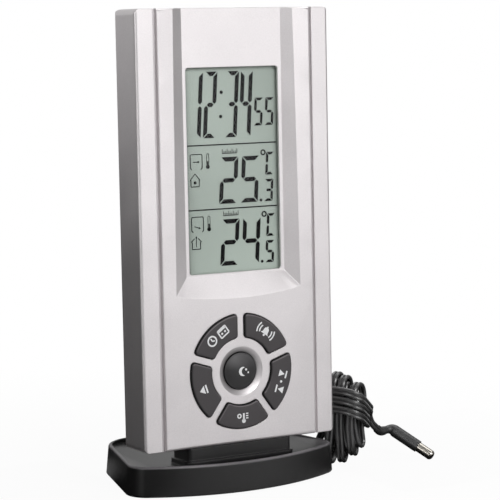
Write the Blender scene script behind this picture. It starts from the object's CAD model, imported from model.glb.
# %% [markdown]
# # A desk thermometer clock in silver and black
# The real object is a slim silver case that leans back on a low black stand. It has a
# reflective display, five arc keys round a domed one, and a probe on a thin twin cable
# that is wound into a hank beside it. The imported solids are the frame: they already have
# the right size and place, so this lesson adds the finishes, the cable, the print and the
# light.

# %% Load the frame
import math
import bpy
import numpy as np
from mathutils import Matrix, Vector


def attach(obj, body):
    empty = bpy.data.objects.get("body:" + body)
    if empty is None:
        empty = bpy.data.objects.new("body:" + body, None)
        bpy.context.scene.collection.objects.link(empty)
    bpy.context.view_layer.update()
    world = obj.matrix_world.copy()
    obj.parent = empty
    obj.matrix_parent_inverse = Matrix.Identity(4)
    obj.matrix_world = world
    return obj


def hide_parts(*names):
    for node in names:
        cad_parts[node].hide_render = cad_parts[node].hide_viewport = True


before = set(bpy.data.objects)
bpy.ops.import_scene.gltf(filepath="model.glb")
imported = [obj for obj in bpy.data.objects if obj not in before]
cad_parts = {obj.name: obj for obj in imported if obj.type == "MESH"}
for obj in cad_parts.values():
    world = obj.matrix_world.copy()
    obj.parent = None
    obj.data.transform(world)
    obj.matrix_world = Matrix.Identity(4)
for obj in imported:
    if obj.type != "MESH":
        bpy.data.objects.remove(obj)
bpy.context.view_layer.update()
MM = 0.001

# %% [markdown]
# ## The camera
# The photograph was taken from the left and a little above, with a long lens, so upright
# lines stay nearly upright. The eye point, the point it looks at and the focal length were
# fitted to the edges of the case, and the image is square.

# %% Place the camera
EYE = np.array([-371.85, -657.22, 180.67]) * MM
AIM = np.array([3.24, -20.6, 83.12]) * MM
IMAGE_PX = 500
FOCAL_PX = 2169.3
SENSOR_MM = 36.0
CLIP = (0.05, 20.0)


def photo_camera():
    """Camera at EYE that looks at AIM, with the lens from the focal length in pixels."""
    lens = bpy.data.cameras.new("photo_lens")
    lens.sensor_width = SENSOR_MM
    lens.lens = SENSOR_MM * FOCAL_PX / IMAGE_PX
    lens.clip_start, lens.clip_end = CLIP
    eye = bpy.data.objects.new("photo_camera", lens)
    bpy.context.scene.collection.objects.link(eye)
    back = Vector((EYE - AIM).tolist())
    eye.location = EYE.tolist()
    eye.rotation_mode = "QUATERNION"
    eye.rotation_quaternion = (-back).to_track_quat("-Z", "Y")
    bpy.context.scene.camera = eye
    return eye


camera = photo_camera()
print("lens: %.1f mm" % camera.data.lens)

# %% [markdown]
# ## Meshes from arrays
# Every new shape below is a grid of points worked out with numpy. One helper turns a grid
# into quads: rows run along the shape, columns run round it. A second helper makes thin
# flat print from closed outlines. Both write the whole mesh at once. Places on the case are
# given as if it stood upright, and one function leans them back with it.

# %% Places on the case
LEAN = math.radians(2.2)
CASE_Y = -20.6
CASE_LIFT = 16.0


def on_case(p):
    """Points of the upright case (x, depth, height; mm) turned back by LEAN, onto the stand."""
    p = np.asarray(p, float)
    c, s = math.cos(LEAN), math.sin(LEAN)
    x, y, z = p[..., 0], p[..., 1], p[..., 2]
    return np.stack([x, CASE_Y + y * c + z * s, CASE_LIFT - y * s + z * c], -1)


def unit(v):
    """Vectors over their own length."""
    v = np.asarray(v, float)
    return v / np.linalg.norm(v, axis=-1, keepdims=True)


print("foot of the case: x %.1f, y %.1f, z %.1f mm" % tuple(on_case([0, 0, 0])))


# %% Objects and smooth tubes
def add_object(name, mesh, body):
    """Links a finished mesh, lets it ride on a body and names the slot of its finish."""
    piece = bpy.data.objects.new(name, mesh)
    bpy.context.scene.collection.objects.link(piece)
    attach(piece, body)
    return piece


def shade(mesh, sharp_deg):
    """Smooth shading, broken at edges that turn by more than sharp_deg."""
    mesh.polygons.foreach_set("use_smooth", np.ones(len(mesh.polygons), bool))
    mesh.set_sharp_from_angle(angle=math.radians(sharp_deg))
    mesh.update()


TUBE_SHARP = 40


def tube_mesh(name, rings, sharp_deg=TUBE_SHARP):
    """Mesh of closed rings, points[row, column]: a quad joins each point to the next column
    and the next row, and the first and last rings are closed by flat caps."""
    rows, cols = rings.shape[:2]
    index = np.arange(rows * cols).reshape(rows, cols)
    right = np.roll(index, -1, axis=1)
    quads = np.stack([index[:-1], right[:-1], right[1:], index[1:]], -1).reshape(-1, 4)
    faces = quads.tolist() + [index[0][::-1].tolist(), index[-1].tolist()]
    mesh = bpy.data.meshes.new(name)
    mesh.from_pydata((rings.reshape(-1, 3) * MM).tolist(), [], faces)
    mesh.validate()
    shade(mesh, sharp_deg)
    return mesh


def mark_rows(mesh, name, rows, cols):
    """One number for each row of a tube mesh, kept as a point attribute."""
    values = np.repeat(np.asarray(rows, float), cols)
    mesh.attributes.new(name, "FLOAT", "POINT").data.foreach_set("value", values)


def mark_upward(mesh):
    """How far the normal at each point faces up (-1 to 1), kept as a point attribute."""
    way = np.zeros(len(mesh.vertices) * 3)
    mesh.vertices.foreach_get("normal", way)
    mesh.attributes.new("upward", "FLOAT", "POINT").data.foreach_set("value", way[2::3])


print("tubes are smooth below %d degrees" % TUBE_SHARP)

# %% Flat print and joined copies
PRINT_SHARP = 30
WELD = 2e-6


def print_mesh(name, outlines, front, depth):
    """Thin slabs: front(points) puts each closed outline (n, 2) on a surface, depth (mm, a
    vector) leads to its back, and a strip of quads joins the two faces."""
    verts, faces, start = [], [], 0
    for outline in outlines:
        outline = np.asarray(outline, float)
        x, y = outline.T
        if np.sum(x * np.roll(y, -1) - y * np.roll(x, -1)) < 0:
            outline = outline[::-1]
        n = len(outline)
        top = front(outline)
        verts += [top, top + depth]
        a = start + np.arange(n)
        b = np.roll(a, -1)
        faces += [a.tolist(), (a[::-1] + n).tolist()]
        faces += np.stack([a, a + n, b + n, b], -1).tolist()
        start += 2 * n
    mesh = bpy.data.meshes.new(name)
    mesh.from_pydata((np.concatenate(verts) * MM).tolist(), [], faces)
    mesh.validate()
    shade(mesh, PRINT_SHARP)
    return mesh


def merged_copy(node, sharp_deg):
    """A CAD node's triangles with points that share a cell of WELD joined, so that round faces
    shade smoothly; triangles that this folds up are left out."""
    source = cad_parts[node].data
    co = np.zeros(len(source.vertices) * 3)
    source.vertices.foreach_get("co", co)
    source.calc_loop_triangles()
    tris = np.zeros(len(source.loop_triangles) * 3, int)
    source.loop_triangles.foreach_get("vertices", tris)
    cells = np.round(co.reshape(-1, 3) / WELD).astype(int)
    keys, back = np.unique(cells, axis=0, return_inverse=True)
    tris = back.reshape(-1)[tris].reshape(-1, 3)
    whole = (tris[:, 0] != tris[:, 1]) & (tris[:, 1] != tris[:, 2]) & (tris[:, 2] != tris[:, 0])
    mesh = bpy.data.meshes.new(node + "_skin")
    mesh.from_pydata((keys * WELD).tolist(), [], tris[whole].tolist())
    mesh.validate()
    shade(mesh, sharp_deg)
    return mesh


print("copies join points within %.0f micrometres" % (WELD * 1e6))

# %% [markdown]
# ## The cable
# The probe's lead is a twin cable: two round cores side by side. It leaves a grommet in
# the back, runs down behind the stand, is wound in loops that go across the hank and back
# one layer further out, and ends in turns round the hank's waist. It could be a curve with
# a bevel, but a bevel can't lie flat in every loop, so the figure-eight section is carried
# along the route with a stated width direction at each point. The numbers are those of the
# part's source, where the same route is a plain solid. Here the loops also sag a little under
# their own weight, and the joins of the route are eased.

# %% Sizes of the cable and the hank
CABLE_W = 2.6
CABLE_T = 1.3
LOOPS = 7
LOOPS_ACROSS = 4
WAIST_TURNS = 2.7
HANK_TURN = math.radians(-52)
HANK_TIP = math.radians(-4)
HANK_FOOT = np.array([49.4, -8.5, 0.05])
LOOP_GAP, LAYER_PLAY = 0.5, 0.05
LOOP_PITCH = CABLE_W + LOOP_GAP
LAYER_STEP = CABLE_T + LOOP_GAP + LAYER_PLAY
INNER_R = 2.2
UP_LONG, UP_SHORT = 12.4, 8.8
DOWN_LONG, DOWN_SHORT = 20.5, 15.5
LENGTH_STEP = 2.3
WAIST_HALF = 6.5
FAN, FAN_RUN = 0.1, 13.0
REVERSE_T = LOOPS_ACROSS + 0.2
CLIMB = (0.12, 0.06)
OUT_EARLY, OUT_RUN = 0.35, 0.27
SIDE_STEP, SIDE_RUN = 0.65, 0.9
ENTRY, ENTRY_RUN = 3.0, 0.2
HALF_ACROSS = LOOP_PITCH * REVERSE_T / 2
PLAY_A, PLAY_B = 0.9, 0.25
WAIST_A = HALF_ACROSS + CABLE_W / 2 + LOOP_GAP + CABLE_T / 2 + PLAY_A
WAIST_B = INNER_R + 2 * LAYER_STEP + PLAY_B
WAIST_SQUARE = 0.45
WAIST_TILT = 0.5
WAIST_SHIFT = 0.9
WRAP_GAP = 0.8
WRAP_PITCH = CABLE_W + WRAP_GAP
WRAP_LOW = -2.5
BEND_R, BEND_STEPS = 2.6, 12
HANK_A = np.array([math.cos(HANK_TURN), math.sin(HANK_TURN), 0])
HANK_B0 = np.array([-math.sin(HANK_TURN), math.cos(HANK_TURN), 0])
UPRIGHT = np.array([0, 0, 1.0])
HANK_U = UPRIGHT * math.cos(HANK_TIP) - HANK_B0 * math.sin(HANK_TIP)
HANK_B = HANK_B0 * math.cos(HANK_TIP) + UPRIGHT * math.sin(HANK_TIP)
print("hank: %d loops, waist %.1f by %.1f mm" % (LOOPS, 2 * WAIST_A, 2 * WAIST_B))


# %% Loops of the hank
def smooth(t):
    """0 before 0, 1 after 1, and 3t^2 - 2t^3 between."""
    t = np.clip(t, 0, 1)
    return t * t * (3 - 2 * t)


def layer(t):
    """Layer at t loops: 0 on the way across, 1 on the way back, 2 at the waist."""
    climb = smooth((t - REVERSE_T + CLIMB[0]) / sum(CLIMB))
    return climb + smooth((t - LOOPS + OUT_EARLY) / OUT_RUN)


def loop_path(t):
    """Loops in the hank's own axes (a across, b through, u up): each is two straight runs and
    two half circles, and its length falls from the hank's left to its right."""
    q = (t % 1) * 4
    there = LOOP_PITCH * (t - REVERSE_T / 2) - ENTRY * np.maximum(0, 1 - t / ENTRY_RUN) ** 2
    step = SIDE_STEP * np.clip((t - REVERSE_T) / SIDE_RUN, 0, 1)
    a = np.where(t < REVERSE_T, there, HALF_ACROSS - LOOP_PITCH * (t - REVERSE_T + step))
    short = np.clip(0.5 + a / (2 * HALF_ACROSS), 0, 1)
    inner = (1 - layer(t)) * LENGTH_STEP
    r = INNER_R + layer(t) * LAYER_STEP
    top = UP_LONG + (UP_SHORT - UP_LONG) * short - inner - r
    low = -(DOWN_LONG + (DOWN_SHORT - DOWN_LONG) * short) + inner + r
    legs = [q < 1, q < 2, q < 3]
    b = np.select(legs, [r, r * np.cos(np.pi * (q - 1)), -r], -r * np.cos(np.pi * (q - 3)))
    u = np.select(legs, [low + (top - low) * q, top + r * np.sin(np.pi * (q - 1)),
                         top + (low - top) * (q - 2)], low - r * np.sin(np.pi * (q - 3)))
    a = a * (1 + FAN * np.maximum(0, np.abs(u) - WAIST_HALF) / FAN_RUN)
    return np.stack([a, b, u], -1)


LOOPS_END = LOOPS - 0.0001
print("loops end at a, b, u: %.1f, %.1f, %.1f mm" % tuple(loop_path(np.array([LOOPS_END]))[0]))

# %% Turns round the waist
SAG, SAG_FROM, SAG_RUN = 2.4, -2.0, 11.0
OPEN, OPEN_AT, OPEN_RUN = 2.9, 0.2, 2.3
SPREAD, SPREAD_FROM, SPREAD_RUN = 1.5, -4.0, 4.0
LOW_FROM, LOW_RUN = 5.0, 12.0


def squared(r, c):
    """Rounded square: r times c, with c raised to a power below one."""
    return r * np.sign(c) * np.abs(c) ** WAIST_SQUARE


def settled(p):
    """The hank after it has sunk under its own weight: its right side drops with the square of a,
    and below LOW_FROM the middle loops open downwards and the right ones spread."""
    a, b, u = p.T
    low = smooth((-u - LOW_FROM) / LOW_RUN)
    drop = SAG * np.clip((a - SAG_FROM) / SAG_RUN, 0, 1) ** 2
    drop = drop + OPEN * low * np.exp(-((a - OPEN_AT) / OPEN_RUN) ** 2)
    return np.stack([a + SPREAD * low * smooth((a - SPREAD_FROM) / SPREAD_RUN), b, u - drop], -1)


def hank_path(per_loop, per_turn):
    """Loops, the bend across and the waist turns, with the way that the cable's width lies."""
    loops = loop_path(np.append(np.arange(0, LOOPS_END, 1 / per_loop), LOOPS_END))
    last_a = loops[-1, 0]
    f = np.linspace(0, np.pi / 2, BEND_STEPS)
    turn_u = WRAP_LOW - 2 * WAIST_TILT * WAIST_B
    bend = np.stack([last_a - BEND_R * (1 - np.cos(f)), np.full(BEND_STEPS, WAIST_B),
                     turn_u - BEND_R * (1 - np.sin(f))], -1)
    start = abs(last_a - BEND_R + WAIST_SHIFT) / WAIST_A
    phase = np.pi / 2 + math.asin(start ** (1 / WAIST_SQUARE))
    t = np.arange(1, int(per_turn * WAIST_TURNS) + 1) / per_turn
    g = phase + 2 * np.pi * t
    through = squared(WAIST_B, np.sin(g))
    rise = WRAP_LOW + WRAP_PITCH * t - WAIST_TILT * (through + WAIST_B)
    wraps = np.stack([squared(WAIST_A, np.cos(g)) - WAIST_SHIFT, through, rise], -1)
    wraps = np.vstack([wraps, wraps[-1] + unit(wraps[-1] - wraps[-2]) * CABLE_W])
    width = np.vstack([np.tile(HANK_A, (len(loops), 1)),
                       np.cos(f)[:, None] * HANK_A + np.sin(f)[:, None] * HANK_U,
                       np.tile(HANK_U, (len(wraps), 1))])
    low = np.min(loops[:, 1] * HANK_B[2] + loops[:, 2] * HANK_U[2])
    middle = HANK_FOOT + UPRIGHT * (CABLE_T / 2 - low)
    local = settled(np.vstack([loops, bend, wraps]))
    return middle + local @ np.stack([HANK_A, HANK_B, HANK_U]), width


hank, hank_width = hank_path(per_loop=96, per_turn=112)
print("hank: %d points, %.1f mm high" % (len(hank), np.ptp(hank[:, 2])))


# %% Lead, hank and tail in one route
def curve(points, first, last, steps):
    """Cubic through points: each stretch is the Hermite blend of its ends and their slopes, and the
    slopes at the two ends are given."""
    points = np.asarray(points, float)
    slope = np.empty_like(points)
    slope[1:-1] = (points[2:] - points[:-2]) / 2
    slope[0] = unit(first) * np.linalg.norm(points[1] - points[0])
    slope[-1] = unit(last) * np.linalg.norm(points[-1] - points[-2])
    t = np.arange(steps)[None, :, None] / steps
    p0, p1, m0, m1 = points[:-1, None], points[1:, None], slope[:-1, None], slope[1:, None]
    path = (p0 * (2 * t**3 - 3 * t**2 + 1) + m0 * (t**3 - 2 * t**2 + t)
            + p1 * (3 * t**2 - 2 * t**3) + m1 * (t**3 - t**2))
    return np.vstack([path.reshape(-1, 3), points[-1:]])


def eased(p, passes):
    """Route with its joins smoothed: each pass moves every inner point half-way to the mean of its
    neighbours."""
    for _ in range(passes):
        p = np.vstack([p[:1], (p[:-2] + 2 * p[1:-1] + p[2:]) / 4, p[-1:]])
    return p


def free_run(start, way, route, end, end_way, steps):
    """Run between two ends that starts and ends straight, one cable width long, square to both."""
    inner = [start + way * CABLE_W, *route, end - end_way * CABLE_W]
    return np.vstack([start, curve(inner, way, end_way, steps), end])


GROMMET_END = on_case([24, 22, 11])
GROMMET_WAY = np.array([0, math.cos(LEAN), -math.sin(LEAN)])
LEAD_ROUTE = [[25, 8.5, 24.5], [29, 12, 20.5], [33.5, 13.8, 15],
              [37.5, 13.2, 9], [40.3, 10.8, 4.2], [42, 7, 2.2]]
LEAD_FLAT = [1, 0, 0]
TAIL_ROUTE = [[60.3, -10.6, 18.6], [60.9, -9.3, 16.0]]
TAIL_FLAT = [0.6, 0.35, 0.7]
NECK_START = np.array([64.7, -8.2, 11.4])
NECK_WAY = unit([0.75, 0.2, -0.62])

lead = free_run(GROMMET_END, GROMMET_WAY, LEAD_ROUTE, hank[0], unit(hank[1] - hank[0]), steps=14)
tail = free_run(hank[-1], unit(hank[-1] - hank[-2]), TAIL_ROUTE, NECK_START, NECK_WAY, steps=20)
cable_path = eased(np.vstack([lead[:-1], hank, tail[1:]]), passes=8)
to_hank = np.linspace(0, 1, len(lead) - 1)[:, None]
to_neck = np.linspace(0, 1, len(tail) - 1)[:, None]
cable_width = np.vstack([(1 - to_hank) * LEAD_FLAT + to_hank * HANK_A, hank_width,
                         (1 - to_neck) * HANK_U + to_neck * TAIL_FLAT])

# %% Carry the twin section along the route
WEB = 0.42
FULL = 1.12


def twin_section(n):
    """Two circles of FULL times the cable's thickness side by side, cut where the web joins them: n
    points on the right one from the web's lower side to its upper side, then the same on the left."""
    r = FULL * CABLE_T / 2
    open_angle = math.pi - math.asin(WEB / 2 / r)
    f = np.linspace(-open_angle, open_angle, n)
    right = np.stack([r + r * np.cos(f), r * np.sin(f)], -1)
    return np.vstack([right, -right])


def sweep(path, width, section):
    """Section carried along a path: its first axis lies along width, its second is square to both."""
    way = unit(np.gradient(path, axis=0))
    across = unit(width - way * np.sum(width * way, -1, keepdims=True))
    through = np.cross(across, way)
    return path[:, None] + across[:, None] * section[None, :, :1] + through[:, None] * section[None, :, 1:]


rings = sweep(cable_path, cable_width, twin_section(n=9)[::-1])
cable = add_object("twin_cable", tube_mesh("twin_cable", rings), "case")
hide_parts("cable_lead", "cable_hank", "cable_tail")
print("cable faces:", len(cable.data.polygons))

# %% [markdown]
# ## The probe's sleeve
# A shrunk tube joins the cable to the metal probe. It is narrow and a little kinked where
# it grips the cable, swells to the probe's thickness, and its cut end stands slightly off
# the metal. A lathe could only make it straight, so it is a circle carried along the same
# kind of curve, with its radius as a function of the way along.

# %% Shrunk sleeve
SLEEVE_D, SLEEVE_L, NECK_D = 4.5, 10.8, 3.2
TIP_D, TIP_L, TIP_LOW = 3.7, 6.7, 0.63
TIP_END = np.array([81.8, -19.6, TIP_D / 2 - TIP_LOW])
PROBE_WAY = unit([0.531, -0.691, -0.493])
PROBE_START = TIP_END - PROBE_WAY * (SLEEVE_L + TIP_L)
SWELL_BEFORE, SWELL_RUN = 2.4, 3.0
# size, distance before the bend, and run
FOLD = (0.16, 3.2, 0.9)
BULGE = (0.1, 5.6, 1.2)
CUT_ROUND, METAL_PLAY = 0.1, 0.02


def hump(s, size, before, run):
    """Bell curve of a size and a run, with its top a distance before 0."""
    return size * np.exp(-((s + before) / run) ** 2)


def round_axis(way, n):
    """Ring of n unit vectors square to each way: cosines across it and sines upwards."""
    f = np.arange(n) * 2 * np.pi / n
    across = unit(np.cross(way, UPRIGHT))
    up = np.cross(across, way)
    return across[..., None, :] * np.cos(f)[:, None] + up[..., None, :] * np.sin(f)[:, None]


def shrunk_sleeve(n_neck, n_run, sides):
    """Circle along the neck's curve and the straight sleeve: radius from the neck's to the
    sleeve's, with a fold and a bulge before the bend and a rounded cut end that turns back to
    the metal."""
    neck = curve([NECK_START + NECK_WAY, PROBE_START], NECK_WAY, PROBE_WAY, n_neck - 1)
    neck = np.vstack([NECK_START, neck])
    run = PROBE_START + np.linspace(0, SLEEVE_L, n_run)[1:, None] * PROBE_WAY
    path = np.vstack([neck, run])
    s = np.append(0, np.cumsum(np.linalg.norm(np.diff(path, axis=0), axis=1)))
    at_bend = s - s[n_neck]
    r = NECK_D / 2 + (SLEEVE_D - NECK_D) / 2 * smooth((at_bend + SWELL_BEFORE) / SWELL_RUN)
    r = r - hump(at_bend, *FOLD) + hump(at_bend, *BULGE)
    end = path[-1] + PROBE_WAY * CUT_ROUND
    path = np.vstack([path, end, end])
    r = np.concatenate([r, [r[-1] - CUT_ROUND, TIP_D / 2 + METAL_PLAY]])
    way = np.gradient(path, axis=0)
    way[-2:] = PROBE_WAY
    return path[:, None] + r[:, None, None] * round_axis(unit(way), sides)


rings = shrunk_sleeve(n_neck=24, n_run=30, sides=40)[:, ::-1]
sleeve = add_object("shrunk_sleeve", tube_mesh("shrunk_sleeve", rings), "case")
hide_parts("probe_sleeve")
print("sleeve faces:", len(sleeve.data.polygons))

# %% [markdown]
# The probe itself is a thin metal tube with a blunt nose. It is a profile turned round the
# probe's axis, which could be a Screw modifier; as an array it needs no turned object. The
# cable, the sleeve and the tip are then written down as one cord.

# %% Metal tip and the cord
NOSE_L, NOSE_POWER, NOSE_FLAT = 1.3, 0.7, 0.04
TIP_INSIDE, TIP_STEP = 1.0, 0.3


def tip_rings(n_nose, sides):
    """Metal tube turned round the probe's axis: straight from inside the sleeve to the nose, then
    a cosine to the power NOSE_POWER over a sine, closed by a small flat."""
    f = np.linspace(0, np.pi / 2, n_nose)
    along = np.concatenate([[-TIP_L - TIP_INSIDE, -TIP_L + TIP_STEP], -NOSE_L + NOSE_L * np.sin(f)])
    r = np.concatenate([[TIP_D / 2] * 2, TIP_D / 2 * np.cos(f) ** NOSE_POWER])
    r[-1] = NOSE_FLAT
    return TIP_END + along[:, None, None] * PROBE_WAY + r[:, None, None] * round_axis(PROBE_WAY, sides)


rings = tip_rings(n_nose=12, sides=48)[:, ::-1]
tip = add_object("probe_nose", tube_mesh("probe_nose", rings), "case")
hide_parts("probe_tip")
print("tip faces:", len(tip.data.polygons))

# %% [markdown]
# ## The display
# A reflective display is a sandwich: a clear lens, a glass with dark segments, and a grey
# reflector close behind them. A picture on one plane would look printed, so the reflector
# and the segments are separate pieces at their own depths. The reflector is a box with
# rounded edges, lofted through four outlines.

# %% Reflector behind the segments
GLASS_HALF = 20.8
GLASS_Z = (56.0, 133.9)
GLASS_ROUND = 0.4
GLASS_BACK = 5.3
REFLECTOR_Y = 3.7


def rounded_box(x, y, z, r, n=5):
    """Rings of a box with round edges along its depth: a rounded rectangle in x and z at four
    depths, the outer two drawn in by half the radius."""
    corners = [(x[1] - r, z[1] - r), (x[0] + r, z[1] - r), (x[0] + r, z[0] + r), (x[1] - r, z[0] + r)]
    quarter = np.linspace(0, np.pi / 2, n)
    turns = [quarter + k * np.pi / 2 for k in range(4)]
    ring = np.vstack([np.stack([cx + r * np.cos(f), cz + r * np.sin(f)], -1)
                      for (cx, cz), f in zip(corners, turns)])
    middle = np.array([(x[0] + x[1]) / 2, (z[0] + z[1]) / 2])
    inset = r * 0.5
    small = middle + (ring - middle) * (1 - inset / np.abs(ring - middle).max(0))
    levels = [(y[1], small), (y[1] - inset, ring), (y[0] + inset, ring), (y[0], small)]
    return np.stack([np.stack([q[:, 0], np.full(len(q), d), q[:, 1]], -1) for d, q in levels])


rings = on_case(rounded_box((-GLASS_HALF, GLASS_HALF), (REFLECTOR_Y, GLASS_BACK), GLASS_Z, GLASS_ROUND))
reflector = add_object("display_reflector", tube_mesh("display_reflector", rings), "case")
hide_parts("lcd_panel")
print("reflector faces:", len(reflector.data.polygons))

# %% [markdown]
# Each figure is built from seven segments, as on the real glass, where every segment is an
# electrode of its own. A font would give other shapes and no gaps, so the segments are
# outlines, worked out from the figure's width, height and stroke. A few helpers draw discs,
# bands and strokes for the small signs.

# %% Segments of the figures
ON = {"1": "bc", "2": "abged", "3": "abgcd", "4": "fgbc", "5": "afgcd", "C": "afed"}
SLANT = 0.066


def segment(name, w, h, s, gap):
    """One of seven segments of a figure w wide and h high with strokes s thick: the level ones
    taper to the outside, the upright ones to a point, and gap keeps neighbours apart."""
    m = h / 2
    d = gap / 2
    k = s / 2
    shapes = {
        "a": [(d, h), (w - d, h), (w - s - d, h - s), (s + d, h - s)],
        "d": [(s + d, s), (w - s - d, s), (w - d, 0), (d, 0)],
        "g": [(k + d, m), (s + d, m + k), (w - s - d, m + k),
              (w - k - d, m), (w - s - d, m - k), (s + d, m - k)],
        "b": [(w, h - d), (w, m + k + d), (w - k, m + d), (w - s, m + k + d), (w - s, h - s - d)],
        "c": [(w - s, s + d), (w - s, m - k - d), (w - k, m - d), (w, m - k - d), (w, d)],
    }
    mirrored = {"f": "b", "e": "c"}
    if name in mirrored:
        return [(w - x, y) for x, y in shapes[mirrored[name]]]
    return shapes[name]


def figure(sign, x, z, w, h, s, gap):
    """All lit segments of one figure whose lower left corner is (x, z), slanted to the right."""
    outlines = [np.array(segment(name, w, h, s, gap)) for name in ON[sign]]
    return [np.stack([x + q[:, 0] + SLANT * q[:, 1], z + q[:, 1]], -1) for q in outlines]


def disc(x, z, r, n=24):
    """Circle of radius r round (x, z)."""
    f = np.arange(n) * 2 * np.pi / n
    return np.stack([x + r * np.cos(f), z + r * np.sin(f)], -1)


def arc_band(x, z, r, width, start, end, n=28):
    """Band along an arc, angles in degrees: the outer arc forwards, then the inner one back."""
    f = np.radians(np.linspace(start, end, n))
    ring = np.stack([np.cos(f), np.sin(f)], -1)
    return np.vstack([ring * (r + width / 2), ring[::-1] * (r - width / 2)]) + [x, z]


def ring_bands(x, z, r, width):
    """A full ring as two half bands, because an outline has no hole."""
    return [arc_band(x, z, r, width, 0, 180), arc_band(x, z, r, width, 180, 360)]


def stroke(points, width):
    """Line of even width along points: both sides are the points moved square to the run."""
    p = np.asarray(points, float)
    way = unit(np.gradient(p, axis=0))
    side = np.stack([-way[:, 1], way[:, 0]], -1) * width / 2
    return np.vstack([p + side, (p - side)[::-1]])


def lines(points, width):
    """One straight stroke for each pair of neighbouring points."""
    return [stroke(pair, width) for pair in zip(points[:-1], points[1:])]


def turned(outlines, angle, at):
    """Outlines turned by an angle in degrees and moved to a point."""
    a = math.radians(angle)
    m = np.array([[math.cos(a), math.sin(a)], [-math.sin(a), math.cos(a)]])
    return [np.asarray(q, float) @ m + at for q in outlines]


print("figures:", " ".join(ON))

# %% [markdown]
# Three fields share the display: the time, and two temperatures that differ in one small
# sign, a closed house for the room and an open one for the probe. All places are in
# millimetres on the display: x from its middle, and height from the foot of the case or of
# the field.

# %% Clock field
CLOCK_Z, CLOCK_W, CLOCK_H, CLOCK_S, CLOCK_GAP = 105.8, 4.7, 22.6, 1.48, 0.56
CLOCK_FIGURES = (("1", -16.5), ("2", -10.85), ("3", -2.3), ("4", 3.2))
SMALL_S = 0.92
SECONDS_Z, SECONDS_W, SECONDS_H, SECONDS_GAP = 109.4, 3.4, 9.6, 0.36
SECONDS_FIGURES = (("5", 9.3), ("5", 13.65))
COLON = ((-3.34, 121.3), (-3.75, 113.0))
COLON_R = 0.62


def clock_field():
    """Hours and minutes in tall figures, seconds in small ones beside them."""
    out = []
    for sign, x in CLOCK_FIGURES:
        out += figure(sign, x, CLOCK_Z, CLOCK_W, CLOCK_H, CLOCK_S, CLOCK_GAP)
    for sign, x in SECONDS_FIGURES:
        out += figure(sign, x, SECONDS_Z, SECONDS_W, SECONDS_H, SMALL_S, SECONDS_GAP)
    return out + [disc(x, z, COLON_R) for x, z in COLON]


print("clock segments:", len(clock_field()))

# %% Small signs
OUTLINE_S = 0.27
BULB_R, TUBE_R, COLUMN_S, TUBE_S = 0.72, 0.42, 0.4, 0.17
BRACKET_TURN, BRACKET_CUT = 0.55, 0.3
EAVES, EAVES_OUT, EAVES_DROP = 0.55, 0.35, 0.25
FLAP_OUT, FLAP_IN = 0.4, (0.9, 1.3)
LEAVE_FROM, LEAVE_PAST, LEAVE_HEAD, LEAVE_S = 0.7, 0.1, 0.7, 0.22
DOT_UP, DOT_R = 1.35, 0.55
TICKS, TICK_LONG, TICK_SHORT, TICK_S = 10, 1.5, 0.85, 0.2
HEAD_HALF = 0.55


def thermometer_sign(x, z, h):
    """Bulb, tube and filled column of a small thermometer."""
    out = [disc(x, z + BULB_R, BULB_R), stroke([(x, z + BULB_R), (x, z + h / 2)], COLUMN_S)]
    for wall in (x - TUBE_R, x + TUBE_R):
        out += lines([(wall, z + 2 * BULB_R), (wall, z + h - TUBE_R)], TUBE_S)
    return out + [arc_band(x, z + h - TUBE_R, TUBE_R, TUBE_S, 0, 180, 12)]


def bracket_box(x0, x1, z0, z1):
    """Open frame: two brackets whose lower ends turn in, joined by a line along the top."""
    left = [(x0 + BRACKET_TURN, z0), (x0, z0 + BRACKET_TURN), (x0, z1 - BRACKET_CUT),
            (x0 + BRACKET_CUT, z1), ((x0 + x1) / 2, z1)]
    right = [(x0 + x1 - x, z) for x, z in left]
    return lines(left, OUTLINE_S) + lines(right, OUTLINE_S)


def arrow(p, q, head, width):
    """Straight stroke from p to q with a filled head."""
    p, q = np.array(p, float), np.array(q, float)
    way = unit(q - p)
    half = np.array([-way[1], way[0]]) * head * HEAD_HALF
    base = q - way * head
    return [stroke([p, base], width), np.array([q, base + half, base - half])]


def house_sign(x0, x1, z0, z1, open_roof):
    """Gabled house outline with a dot inside; with an open roof, an arrow leads out instead."""
    eaves = z0 + (z1 - z0) * EAVES
    middle = (x0 + x1) / 2
    out = lines([(x0, eaves), (x0, z0), (x1, z0), (x1, eaves)], OUTLINE_S)
    if open_roof:
        for wall, side in ((x0, 1), (x1, -1)):
            out += lines([(wall - side * FLAP_OUT, eaves), (wall + side * FLAP_IN[0], eaves + FLAP_IN[1])],
                         OUTLINE_S)
        return out + arrow((middle, z0 + LEAVE_FROM), (middle, z1 + LEAVE_PAST), LEAVE_HEAD, LEAVE_S)
    low = eaves - EAVES_DROP
    out += lines([(x0 - EAVES_OUT, low), (middle, z1), (x1 + EAVES_OUT, low)], OUTLINE_S)
    return out + [disc(middle, z0 + DOT_UP, DOT_R, 16)]


def scale_sign(x0, x1, z):
    """Short scale with ticks, every third one long, over the figures."""
    out = lines([(x0, z), (x1, z)], TICK_S)
    for k, x in enumerate(np.linspace(x0, x1, TICKS)):
        out.append(stroke([(x, z), (x, z + (TICK_SHORT if k % 3 else TICK_LONG))], TICK_S))
    return out


print("ticks on a scale:", TICKS)

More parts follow.
